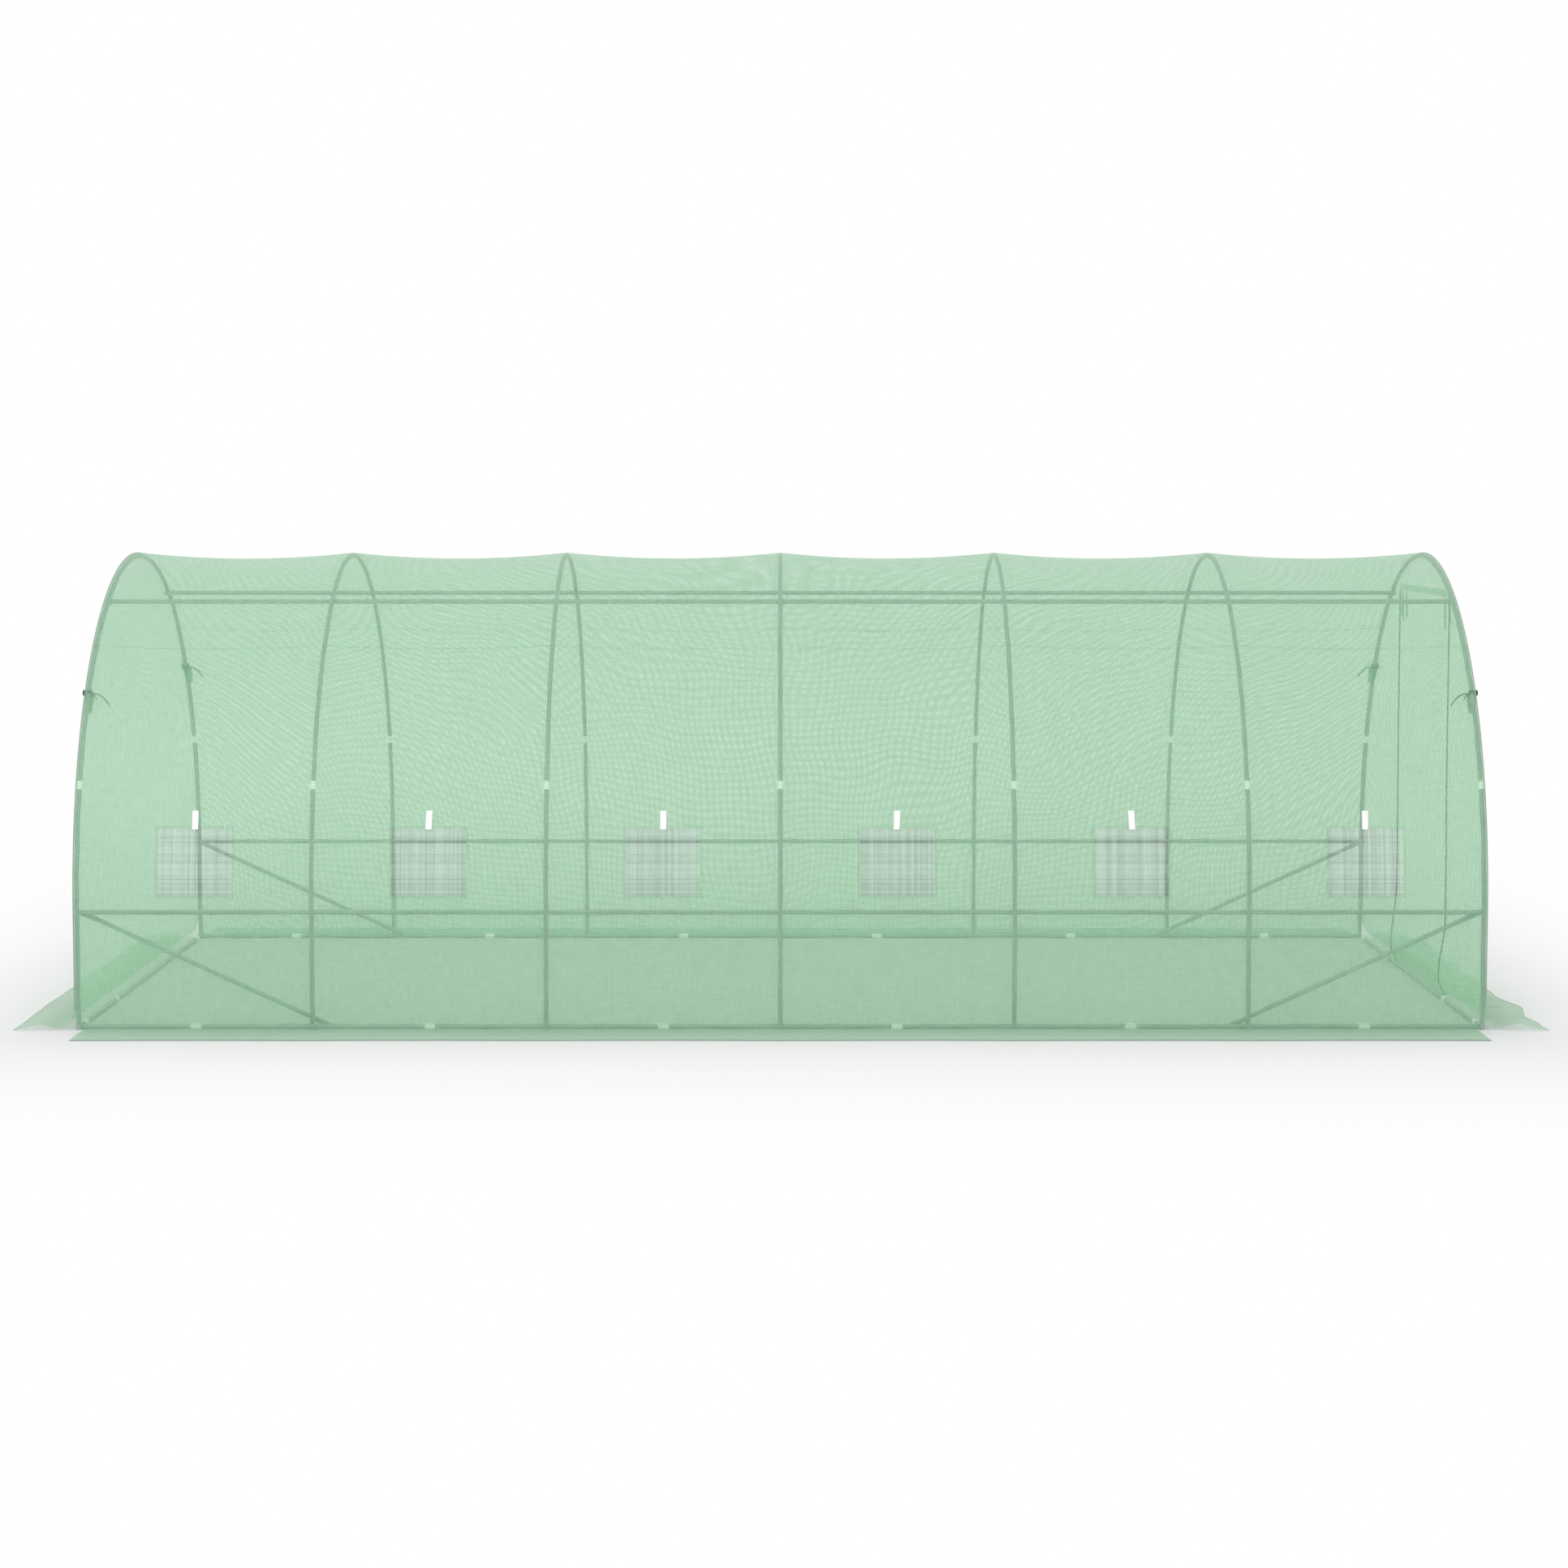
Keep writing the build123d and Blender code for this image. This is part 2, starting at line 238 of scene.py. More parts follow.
leg_steps = 12
for side in ("front", "back"):
    legs = ([], [])
    for place in hoop_places:
        path = [Vector((place, -hoop_radius, leg_low.z)), Vector((place, -hoop_radius, spring_height))]
        path += [on_hoop(place, collar_angle * n / leg_steps) for n in range(1, leg_steps + 1)]
        if side == "back":
            path = [Vector((point.x, -point.y, point.z)) for point in path]
        tube(legs, path, along, tube_radius)
    make_piece(f"{side}_leg_tubes", legs, zinc, [f"{side}_legs"])


# Collars: short sleeves of white moulded plastic, one at each joint of a leg and its arch.
# A low rounded bead at both ends and a stop ring round the middle take the two tubes.

def plastic_finish(name, dull, clean, glow):
    """White polyethylene moulding: barely mottled, with a soft gloss, a fine grain from the mould and a
    painted glow.
    """
    material, paint = new_finish(name)
    place = paint.add("ShaderNodeTexCoord", {}, {}).out("Object")
    mottle = soft_noise(place, 60.0, 3.0)
    grain = soft_noise(place, 900.0, 2.0)
    shade = mottle.between(dull, clean)
    sockets = {"Base Color": shade, "Roughness": mottle * 0.2 + 0.3}
    # Painted glow: the plastic emits its own colour, so it shows brighter through the film than the light on
    # it makes it.
    sockets.update({"Emission Color": shade, "Emission Strength": glow})
    return finished(material, surface(sockets, grain, 0.08, 0.0004))


def sleeve(shape, centre, way, side, length):
    """A sleeve on a tube: beaded ends, a stop ring round its middle, flat where it lies on the ground."""
    inner = tube_radius + sleeve_gap
    outer = inner + sleeve_wall
    half = length / 2
    profile = [(-half, inner), (-half, outer), (-half + bead_length / 3, outer + bead_rise)]
    profile += [(-half + bead_length * 2 / 3, outer + bead_rise), (-half + bead_length, outer)]
    profile += [(-bead_length / 2, outer), (-bead_length / 5, outer + bead_rise)]
    profile += [(-offset, radius) for offset, radius in reversed(profile)]
    rings = [ring(centre + way * s, side * r, way.cross(side) * r) for s, r in profile]
    for point in [point for loop in rings for point in loop]:
        point.z = max(point.z, leg_low.z)
    skin(shape, rings, joined=True)


sleeve_gap = 0.0003
sleeve_wall = 0.0018
bead_rise = 0.0005
bead_length = 0.0045
collar_length = 0.036
# The collars' plastic has a painted glow of strength 0.16.
collar_plastic = plastic_finish("white_plastic", tint(242, 246, 242), tint(255, 255, 255), 0.16)
for side, turn in (("front", collar_angle), ("back", math.pi - collar_angle)):
    collars = ([], [])
    for place in hoop_places:
        way = Vector((0, math.sin(turn), math.cos(turn)))
        sleeve(collars, on_hoop(place, turn), way, along, collar_length)
    make_piece(f"{side}_joint_collars", collars, collar_plastic, [f"{side}_collars"])


# Ground rails, side rails and purlins: straight lengths of the same galvanised tube.
# The ground rails tie the feet together all round, the side rails run along the tops of the legs,
# and the two purlins run under the roof, each held against the inside of every hoop.

for name in ("front_ground_rail", "back_ground_rail", "left_ground_rail", "right_ground_rail",
             "front_side_rail", "back_side_rail", "front_purlin", "back_purlin"):
    low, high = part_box(name)
    middle = (low + high) / 2
    crosswise = high.y - low.y > high.x - low.x
    way = across if crosswise else along
    half = (high - low).dot(way) / 2
    run = ([], [])
    tube(run, [middle - way * half, middle + way * half], along if crosswise else across, tube_radius)
    make_piece(f"{name}_tube", run, zinc, [name])


# Rail bolts: one through each crossing of a hoop with a side rail or a purlin, head inwards.
# Zinc-plated steel with a low domed head on a thin washer.

def bolt(shape, seat, way, radius):
    """A domed bolt head on a thin washer."""
    side = along if abs(way.x) < 0.5 else up
    rise = radius * bolt_rise_share
    rings = []
    for lift, reach in bolt_shares:
        middle = seat + way * rise * lift
        rings.append(ring(middle, side * radius * reach, way.cross(side) * radius * reach, bolt_sides))
    skin(shape, rings)


bolt_radius = 0.0055
bolt_rise_share = 0.55
bolt_shares = ((0, 1.35), (0.12, 1.35), (0.14, 1.0), (0.55, 0.92), (0.85, 0.65), (1.0, 0.2))
bolt_sides = 14
rail_bolts = ([], [])
for name in ("front_side_rail", "back_side_rail", "front_purlin", "back_purlin"):
    low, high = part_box(name)
    middle = (low + high) / 2
    inward = Vector((0, -middle.y, spring_height - middle.z)).normalized()
    for place in hoop_places:
        bolt(rail_bolts, Vector((place, middle.y, middle.z)) + inward * tube_radius, inward, bolt_radius)
make_piece("rail_bolts", rail_bolts, zinc)


# Couplings: white plastic sleeves over the butt joints of the ground rails, one in each side bay
# and four along each end. They are the same moulding as the collars, a little longer.

coupling_length = 0.045
# A duller copy of the collars' plastic, with a weaker painted glow: painted shade of the couplings lying low
# on the ground.
coupling_plastic = plastic_finish("ground_shaded_plastic", tint(232, 237, 232), tint(252, 254, 252), 0.14)
bay_centres = [place + hoop_pitch / 2 for place in hoop_places[:-1]]
for side in ("front", "back"):
    low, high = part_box(f"{side}_ground_rail")
    couplings = ([], [])
    for place in bay_centres:
        middle = Vector((place, (low.y + high.y) / 2, (low.z + high.z) / 2))
        sleeve(couplings, middle, along, across, coupling_length)
    make_piece(f"{side}_rail_sleeves", couplings, coupling_plastic, [f"{side}_couplings"])

end_coupling_share = 0.511
coupling_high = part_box("end_couplings")[1]
outer_coupling = coupling_high.y - coupling_length / 2
end_sleeves = ([], [])
for name in ("left_ground_rail", "right_ground_rail"):
    low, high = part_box(name)
    middle = (low + high) / 2
    for y in (outer_coupling, outer_coupling * end_coupling_share):
        for side in (-1, 1):
            sleeve(end_sleeves, middle + across * side * y, across, along, coupling_length)
make_piece("end_rail_sleeves", end_sleeves, coupling_plastic, ["end_couplings"])


# Braces: one in each corner bay, from the end hoop at rail height down to the foot of the next.
# Galvanised tube, hammered flat at both ends, where a bolt with a domed head holds it to the rail.

def brace_tube(shape, top, foot, inward):
    """A brace with its ends pressed flat against the rails."""
    way = (foot - top).normalized()
    length = (foot - top).length
    stations = [(flat_length * run, press) for run, press in press_shares]
    stations += [(length - run, press) for run, press in reversed(stations)]
    rings = []
    for run, press in stations:
        half_thick = tube_radius + (flat_thickness / 2 - tube_radius) * press
        half_wide = tube_radius * (1 + flat_spread * press)
        shift = across * (-inward * (tube_radius - half_thick))
        rings.append(ring(top + way * run + shift, across * half_thick, way.cross(across) * half_wide))
    skin(shape, rings)


flat_length = 0.055
flat_thickness = 0.005
flat_spread = 0.16
press_shares = ((0, 1), (0.72, 1), (1, 0.75), (1.35, 0.15), (1.5, 0))
brace_drop_share = 0.92
brace_bolt_shares = (0.025, 0.975)
for side in ("front", "back"):
    for end in ("left", "right"):
        low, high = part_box(f"{side}_{end}_brace")
        inward = 1 if side == "front" else -1
        middle_y = (low.y + high.y) / 2
        outer_x, inner_x = (high.x, low.x) if end == "right" else (low.x, high.x)
        drop = tube_radius * brace_drop_share
        top = Vector((outer_x, middle_y, high.z - drop))
        foot = Vector((inner_x, middle_y, low.z + drop))
        brace = ([], [])
        brace_tube(brace, top, foot, inward)
        flat_face = middle_y - inward * (tube_radius - flat_thickness)
        for share in brace_bolt_shares:
            seat = top + (foot - top) * share
            bolt(brace, Vector((seat.x, flat_face, seat.z)), across * inward, bolt_radius)
        make_piece(f"{side}_{end}_brace_tube", brace, zinc, [f"{side}_{end}_brace"])


# Side and roof sheets: three strips of green polyethylene film with a grid of threads inside it.
# They are welded into one cover, drawn tight over the hoops so that it dips in each bay, the roof lapping
# over the sides. Over each window a strip of the film hangs in front of the net.

def thread_marks(paint, run, pitch, sharpness):
    """Threads at even steps along a run: how near the next thread is, and a tone for each thread."""
    step = run * (1 / pitch)
    near = (step * math.pi).to("SINE").to("ABSOLUTE").to("POWER", sharpness)
    tone = paint.add("ShaderNodeTexWhiteNoise", {"noise_dimensions": "1D"}, {"W": step.to("FLOOR")})
    return near, tone


def see_through(body, opacity):
    """A shader that is clear where its opacity is low."""
    clear = body.add("ShaderNodeBsdfTransparent", {}, {})
    return body.add("ShaderNodeMixShader", {}, {0: opacity, 1: clear, 2: body})


def film_finish(name, green, pale, cover):
    """Woven film: a fine grid of milky threads, pulled a little askew, clear between them, faintly cloudy."""
    material, paint = new_finish(name)
    place = paint.add("ShaderNodeTexCoord", {}, {}).out("Object")
    weave = paint.add("ShaderNodeUVMap", {"uv_map": "weave"}, {})
    run = paint.add("ShaderNodeSeparateXYZ", {}, {0: weave})
    drift = soft_noise(place, 1.6, 1.0).out("Color")
    sway = paint.add("ShaderNodeSeparateColor", {}, {0: drift})
    pulled_warp = run + run * (run.out("Y") - cover_run / 2) * warp_skew + sway * thread_sway
    pulled_weft = run.out("Y") + run * run * weft_bow + sway.out("Green") * thread_sway
    warp, warp_tone = thread_marks(paint, pulled_warp, thread_pitch, thread_sharpness)
    weft, weft_tone = thread_marks(paint, pulled_weft, thread_pitch, thread_sharpness)
    threads = 1 - (1 - warp) * (1 - weft)
    swell = 0
    for stretch in ((14.0, 150.0, 1.0), (150.0, 14.0, 1.0)):
        drawn = paint.add("ShaderNodeVectorMath", {"operation": "MULTIPLY"}, {0: weave, 1: stretch})
        swell = soft_noise(drawn, 1.0, 1.0) * 0.5 + swell
    cloud = soft_noise(place, 2.2, 4.0)
    speck = soft_noise(place, 240.0, 2.0)
    tone = (warp_tone + weft_tone) * 0.05 + cloud * 0.14
    shade = (tone - swell * 1.6 + 1.13).between(green, pale)
    rough = cloud * 0.2 + speck * 0.1 + 0.3
    face = surface({"Base Color": shade, "Roughness": rough}, threads + speck * 0.4, 0.25, 0.0006)
    glow = paint.add("ShaderNodeBsdfTranslucent", {}, {"Color": pale})
    body = paint.add("ShaderNodeMixShader", {}, {0: film_glow, 1: face, 2: glow})
    return finished(material, see_through(body, threads * 0.85 + cloud * 0.1 + (cover - 0.5)))


def spaced(start, end, step, marks=()):
    """Places from start to end about a step apart, with the marks among them."""
    stops = [start] + sorted(mark for mark in marks if start + mark_gap < mark < end - mark_gap) + [end]
    places = [start]
    for a, b in zip(stops[:-1], stops[1:]):
        count = max(1, round((b - a) / step))
        places += [a + (b - a) * (n + 1) / count for n in range(count)]
    return places


def cloth(name, patches, material, nodes=(), holes=()):
    """One sheet from patches: each is places one way, places the other, and the rule that sets a point.
    The rule gives the point and where it lies on the flat cloth, in metres. Holes are left open."""
    points, faces, marks = [], [], []
    for columns, rows, rule in patches:
        used = {}
        for j in range(len(rows) - 1):
            for i in range(len(columns) - 1):
                u, v = (columns[i] + columns[i + 1]) / 2, (rows[j] + rows[j + 1]) / 2
                if any(a < u < b and c < v < d for a, b, c, d in holes):
                    continue
                corners = ((i, j), (i + 1, j), (i + 1, j + 1), (i, j + 1))
                for corner in corners:
                    if corner not in used:
                        used[corner] = len(points)
                        point, mark = rule(columns[corner[0]], rows[corner[1]])
                        points.append(point)
                        marks.append(mark)
                faces.append(tuple(used[corner] for corner in corners))
    return make_piece(name, (points, faces), material, nodes, marks)


def settle(share):
    """A smooth step from 0 to 1."""
    share = min(1.0, max(0.0, share))
    return share * share * (3 - 2 * share)


def draw_in(place, run):
    """How far the film dips between two hoops: least at the ground, more where no rail is behind it."""
    share = (place - hoop_places[0]) / hoop_pitch
    share = min(max(share, 0), hoop_count - 1) % 1
    belly = math.sin(math.pi * min(1, max(0, (run - spring_height) / (purlin_run - spring_height))))
    crown = settle((run - purlin_run) / (cover_run / 2 - purlin_run))
    depth = rail_dip * (foot_dip_share + (1 - foot_dip_share) * settle(run / spring_height))
    depth = depth + belly_dip * belly + crown_dip * crown
    return depth * 4 * share * (1 - share)


def cover_point(place, run, lift=0.0):
    """A point of the cover, at a run up the film from the front edge, over the roof and down the back."""
    dip = draw_in(place, min(run, cover_run - run))
    wave = noise.noise(Vector((place * ripple_along, run * ripple_up, ripple_seed)))
    ripple = film_ripple * wave * settle(dip / ripple_dip)
    radius = film_radius + lift - dip + ripple
    if run < spring_height:
        return Vector((place, -radius, run))
    if run > cover_run - spring_height:
        return Vector((place, radius, cover_run - run))
    turn = (run - spring_height) / film_radius
    return Vector((place, -radius * math.cos(turn), spring_height + radius * math.sin(turn)))


def cover_rule(lift):
    """The rule of a strip of the cover, lifted a little off the film under it."""
    return lambda place, run: (cover_point(place, run, lift), (place, run))


thread_pitch = 0.0065
thread_sharpness = 6.0
thread_sway = 0.04
warp_skew = 0.01
weft_bow = 0.007
film_glow = 0.35
mark_gap = 1e-4
rail_dip = 0.0208
foot_dip_share = 0.35
belly_dip = 0.003
crown_dip = 0.0065
film_ripple = 0.001
ripple_along, ripple_up, ripple_seed = 1.7, 5.0, 3.0
ripple_dip = 0.01
film_step = 0.045
film_stand = 0.0022
weld_lap = 0.008
weld_lift = 0.0008
side_bend = 0.02
film_low, film_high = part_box("front_sheet")
film_radius = -film_low.y - film_stand
film_half = film_high.x
cover_run = 2 * spring_height + math.pi * film_radius
weld_run = spring_height + film_radius * math.asin((film_high.z - spring_height) / film_radius)
purlin_low, purlin_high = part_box("front_purlin")
purlin_rise = (purlin_low.z + purlin_high.z) / 2 - spring_height
purlin_run = spring_height + film_radius * math.atan2(purlin_rise, -(purlin_low.y + purlin_high.y) / 2)
film_green = tint(139, 191, 151)
film_pale = tint(188, 235, 199)
film = film_finish("green_film", film_green, film_pale, 0.57)

flap_strip = 0.045
net_low, net_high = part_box("window_nets")
window_half = net_high.x - bay_centres[-1]
window_foot = spring_height + film_radius * math.asin((net_low.z - spring_height) / film_radius)
window_top = spring_height + film_radius * math.asin((net_high.z - spring_height) / film_radius) - flap_strip
windows = [(place - window_half, place + window_half, window_foot, window_top) for place in bay_centres]
window_sides = [edge for window in windows for edge in window[:2]]

columns = spaced(-film_half, film_half, film_step, hoop_places + window_sides)
side_rows = spaced(side_bend, weld_run, film_step, (window_foot, window_top))
back_rows = [cover_run - run for run in reversed(side_rows)]
roof_rows = spaced(weld_run - weld_lap, cover_run - weld_run + weld_lap, film_step)
front_film = cloth("front_film", [(columns, side_rows, cover_rule(0))], film, ["front_sheet"],
                   windows)
back_film = cloth("back_film", [(columns, back_rows, cover_rule(0))], film, ["back_sheet"])
roof_film = cloth("roof_film", [(columns, roof_rows, cover_rule(weld_lift))], film,
                  ["roof_sheet"])
side_width = weld_run - side_bend
window_area = len(windows) * 2 * window_half * (window_top - window_foot)
side_width * 2 * film_half - window_area
roof_rows[-1] - roof_rows[0]


# Window nets: six squares of fine insect net, sewn into the front sheet above the side rail.
# Grey-green polyester thread, woven in an open square mesh, no two threads quite alike.

def net_finish():
    """Insect net: grey threads both ways, light and dark, with open holes between them."""
    material, paint = new_finish("window_net")
    weave = paint.add("ShaderNodeUVMap", {"uv_map": "weave"}, {})
    run = paint.add("ShaderNodeSeparateXYZ", {}, {0: weave})
    warp, warp_tone = thread_marks(paint, run, net_pitch, 2.0)
    weft, weft_tone = thread_marks(paint, run.out("Y"), net_pitch, 2.0)
    threads = 1 - (1 - warp) * (1 - weft)
    tone = warp_tone * 0.5 + weft_tone * 0.5
    cloud = soft_noise(weave, 30.0, 3.0)
    shade = (tone * 0.7 + cloud * 0.3).between(tint(86, 116, 98), tint(206, 234, 216))
    face = surface({"Base Color": shade, "Roughness": cloud * 0.2 + 0.55}, threads, 0.4, 0.0008)
    return finished(material, see_through(face, threads * 0.45 + 0.16))


net_pitch = 0.009
net_sink = -0.0008
net_step = 0.03
net_patches = []
for left, right, foot, top in windows:
    net_patches.append((spaced(left, right, net_step), spaced(foot, top, net_step), cover_rule(net_sink)))
nets = cloth("window_netting", net_patches, net_finish(), ["window_nets"])
len(windows) * 2 * window_half
window_top - window_foot


# Window hems: a narrow border of film round each opening, turned under and doubled.
# One line of thread sews it to the net.

hem_width = 0.01
hem_lift = 0.0006
film_double = film_finish("film_hem", film_green, film_pale, 0.3)
hem_patches = []
for left, right, foot, top in windows:
    outer = (left - hem_width, right + hem_width, foot - hem_width, top + hem_width)
    wide = spaced(outer[0], outer[1], net_step, (left, right))
    tall = spaced(foot, top, net_step)
    hem_patches.append((wide, [outer[2], foot], cover_rule(hem_lift)))
    hem_patches.append((wide, [top, outer[3]], cover_rule(hem_lift)))
    hem_patches.append(([outer[0], left], tall, cover_rule(hem_lift)))
    hem_patches.append(([right, outer[1]], tall, cover_rule(hem_lift)))
window_hems = cloth("window_hems", hem_patches, film_double)
hem_run = len(windows) * 2 * (2 * window_half + window_top - window_foot + 2 * hem_width)


# Window tabs: a short strip of white hook tape over the top edge of each window.
# Woven nylon, sewn to the film at its upper end, with a nap of hooks below.

def tape_finish():
    """Hook tape: white ribbed webbing with rows of tiny hooks."""
    material, paint = new_finish("hook_tape")
    place = paint.add("ShaderNodeTexCoord", {}, {}).out("Object")
    run = paint.add("ShaderNodeSeparateXYZ", {}, {0: place})
    rib = (run.out("Z") * (math.pi / tape_rib)).to("SINE").to("ABSOLUTE")
    nap = soft_noise(place, 700.0, 3.0)
    shade = (rib * 0.5 + nap * 0.5).between(tint(240, 244, 240), tint(255, 255, 255))
    sockets = {"Base Color": shade, "Roughness": nap * 0.2 + 0.6}
    return finished(material, surface(sockets, rib + nap, 0.35, 0.0006))


def flat_ring(centre, wide, thick):
    """Points round a flat strip with rounded edges."""
    edge_shares = ((1, 0), (0.985, 0.7), (0.94, 1), (0, 1), (-0.94, 1), (-0.985, 0.7))
    edge_shares += tuple((-a, -b) for a, b in edge_shares)
    return [centre + wide * a + thick * b for a, b in edge_shares]


tape_rib = 0.0028
tape_half = 0.013
tape_thick = 0.001
tab_low, tab_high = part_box("window_tabs")
tab_stations = 12
tab_lean = 0.008
tab_curl = 0.006
tab_stand = 0.0026
tab_end_share = 0.93
lean_step, lean_seed = 2.3, 0.7
tabs = ([], [])
for number, place in enumerate(bay_centres):
    lean = tab_lean * noise.noise(Vector((number * lean_step, lean_seed, 0.0)))
    rings = []
    for n in range(tab_stations + 1):
        share = n / tab_stations
        height = tab_low.z + (tab_high.z - tab_low.z) * share
        run = spring_height + film_radius * math.asin((height - spring_height) / film_radius)
        curl = tab_curl * (1 - share) ** 2
        narrow = 1 if 0 < n < tab_stations else tab_end_share
        centre = cover_point(place, run, tab_stand + curl) + along * lean * (share - 1)
        out = (cover_point(place, run, 0.01) - cover_point(place, run)).normalized()
        rings.append(flat_ring(centre, along * tape_half * narrow, out * tape_thick))
    skin(tabs, rings)
make_piece("window_hook_tabs", tabs, tape_finish(), ["window_tabs"])


# End walls: flat panels of the same film over the end hoops, welded to the cover round the arch.
# The left one is whole. The right one has the doorway, open from the ground to the door's top.

def arch_half(height):
    """Half the width of an end wall at a height."""
    rise = max(0.0, height - spring_height)
    return math.sqrt(max(1e-6, wall_radius ** 2 - rise ** 2))


def wall_bow(end, y, height):
    """How far an end wall stands out of its plane: slack folds low down, taut under the arch.
    The end with the door is also drawn in beside the zips, near the ground."""
    slack = 1 - settle(height / fold_height)
    fold = noise.noise(Vector((y * end * fold_across, height * fold_up, fold_seed)))
    held = settle((arch_half(height) - abs(y)) / fold_reach)
    drawn = 0.0
    if end > 0:
        beside = math.exp(-((abs(y) - door_half) / zip_pull_reach) ** 2)
        drawn = zip_pull * beside * settle(height / zip_pull_low)
        drawn *= 1 - settle((height - zip_pull_high) / zip_pull_fade)
    return (wall_fold * slack * (0.5 + 0.5 * fold) + wall_flutter * fold) * held - drawn


def wall_rule(end, first, last):
    """The rule of a part of an end wall, between two edges that depend on the height."""
    def rule(share, height):
        y = first(height) + (last(height) - first(height)) * share
        return Vector((end * (wall_x + wall_bow(end, y, height)), y, height)), (y, height)
    return rule


wall_stand = 0.0012
wall_over = 0.0006
wall_fold = 0.012
wall_flutter = 0.001
fold_height = 1.2
fold_reach = 0.12
fold_across, fold_up, fold_seed = 3.2, 0.8, 7.0
zip_pull = 0.026
zip_pull_reach = 0.16
zip_pull_low, zip_pull_high, zip_pull_fade = 0.08, 0.12, 0.26
wall_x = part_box("right_end_wall")[0].x + wall_stand
wall_radius = film_radius + wall_over
wall_top = spring_height + wall_radius
end_bend = 0.085
zip_low, zip_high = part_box("door_zips")
zip_half = 0.012
door_half = (zip_high.y - zip_low.y) / 2 - zip_half
door_top = zip_high.z
arch_count = 40
arch_turns = [math.pi / 2 * n / arch_count for n in range(1, arch_count + 1)]
wall_rows = spaced(end_bend, spring_height, film_step)
wall_rows += [spring_height + wall_radius * math.sin(turn) for turn in arch_turns]
full_shares = spaced(0, 1, 1 / 64)
left_wall = cloth("left_wall_film", [
    (full_shares, wall_rows, wall_rule(-1, arch_half, lambda z: -arch_half(z))),
], film, ["left_end_wall"])


def zip_line(side, height):
    """Where a zip runs: straight above, with slack waves near the ground."""
    slack = 1 - settle(height / zip_slack_height)
    return side * door_half + zip_wave * slack * math.sin(height * zip_waves + side)


zip_slack_height = 0.5
zip_wave = 0.016
zip_waves = 19
gap_below, gap_above = 0.01, 0.005
low_rows = [row for row in wall_rows if row < door_top - gap_below] + [door_top]
high_rows = [door_top] + [row for row in wall_rows if row > door_top + gap_above]
part_shares = spaced(0, 1, 1 / 24)
right_wall = cloth("right_wall_film", [
    (part_shares, low_rows, wall_rule(1, lambda z: -arch_half(z), lambda z: zip_line(-1, z))),
    (part_shares, low_rows, wall_rule(1, lambda z: zip_line(1, z), arch_half)),
    (full_shares, high_rows, wall_rule(1, lambda z: -arch_half(z), arch_half)),
], film, ["right_end_wall"])
wall_area = 2 * wall_radius * (spring_height - end_bend) + math.pi * wall_radius ** 2 / 2
wall_top - end_bend
wall_top - end_bend
wall_area - 2 * door_half * (door_top - end_bend)


# End welts: the rolled seam that joins the cover to each end wall, round the whole arch.
# Three layers of film, folded over a core and sewn with grey thread, so it is duller than the sheets.

def cord_rings(path, radius, sides=10):
    """Round sections along a path, each square to it."""
    rings = []
    for n, point in enumerate(path):
        way = (path[min(n + 1, len(path) - 1)] - path[max(n - 1, 0)]).normalized()
        side = way.cross(across if abs(way.y) < 0.9 else along).normalized()
        rings.append(ring(point, side * radius, way.cross(side) * radius, sides))
    return rings


def seam_finish(name, dark, pale):
    """Folded film: dense green with a fine stitch mark, a little duller than the sheets."""
    material, paint = new_finish(name)
    place = paint.add("ShaderNodeTexCoord", {}, {}).out("Object")
    cloud = soft_noise(place, 14.0, 4.0)
    stitch = soft_noise(place, 180.0, 2.0)
    shade = (cloud * 0.5 + stitch * 0.5).between(dark, pale)
    sockets = {"Base Color": shade, "Roughness": stitch * 0.2 + 0.45}
    return finished(material, surface(sockets, stitch, 0.3, 0.0008))


welt_radius = 0.0022
welt_steps = 90
welt_stand = 0.0006
welt_film = seam_finish("welt_film", tint(134, 148, 138), tint(166, 178, 169))
welts = ([], [])
for end in (-1, 1):
    x = end * (film_half + welt_stand)
    path = [Vector((x, -film_radius, z)) for z in spaced(end_bend, spring_height, film_step)]
    for n in range(1, welt_steps):
        turn = math.pi * n / welt_steps
        path.append(Vector((x, -film_radius * math.cos(turn), spring_height + film_radius * math.sin(turn))))
    path += [Vector((x, film_radius, z)) for z in reversed(spaced(end_bend, spring_height, film_step))]
    skin(welts, cord_rings(path, welt_radius))
make_piece("end_welts", welts, welt_film)


# Door: a panel of the same film between two long zips, hung from the hem across its top.
# It rolls up from the ground, and hangs a little slack between the zips.

def door_rule(share, height):
    """The rule of the door panel, slightly full between its zips."""
    left, right = zip_line(-1, height), zip_line(1, height)
    y = left + (right - left) * share
    belly = door_belly * math.sin(math.pi * share) * settle((door_top - height) / belly_reach)
    return Vector((wall_x + wall_bow(1, y, height) + belly, y, height)), (y, height)


door_foot = 0.006
door_belly = 0.006
belly_reach = 0.5
door_rows = spaced(door_foot, door_top, film_step)
door = cloth("door_film", [(spaced(0, 1, 1 / 32), door_rows, door_rule)], film, ["door_panel"])


# Door zips: two coil zips from the ground to the top of the doorway, sewn between wall and door.
# Green woven tape each side, a narrow dark line of nylon teeth, and a slider with a pull tab at the top.

def zip_finish(name, dark, pale):
    """Zip tape: close cross ribs, lighter and darker, with a fine fuzz."""
    material, paint = new_finish(name)
    place = paint.add("ShaderNodeTexCoord", {}, {}).out("Object")
    run = paint.add("ShaderNodeSeparateXYZ", {}, {0: place})
    rib = (run.out("Z") * (math.pi / zip_rib)).to("SINE").to("ABSOLUTE")
    fuzz = soft_noise(place, 260.0, 3.0)
    shade = (rib * 0.4 + fuzz * 0.6).between(dark, pale)
    sockets = {"Base Color": shade, "Roughness": fuzz * 0.2 + 0.55}
    return finished(material, surface(sockets, rib + fuzz, 0.3, 0.0005))


def zip_point(side, height, stand=0.0):
    """A point of a zip's middle line, standing off the wall."""
    y = zip_line(side, height)
    return Vector((wall_x + zip_stand + stand + wall_bow(1, y, height), y, height))


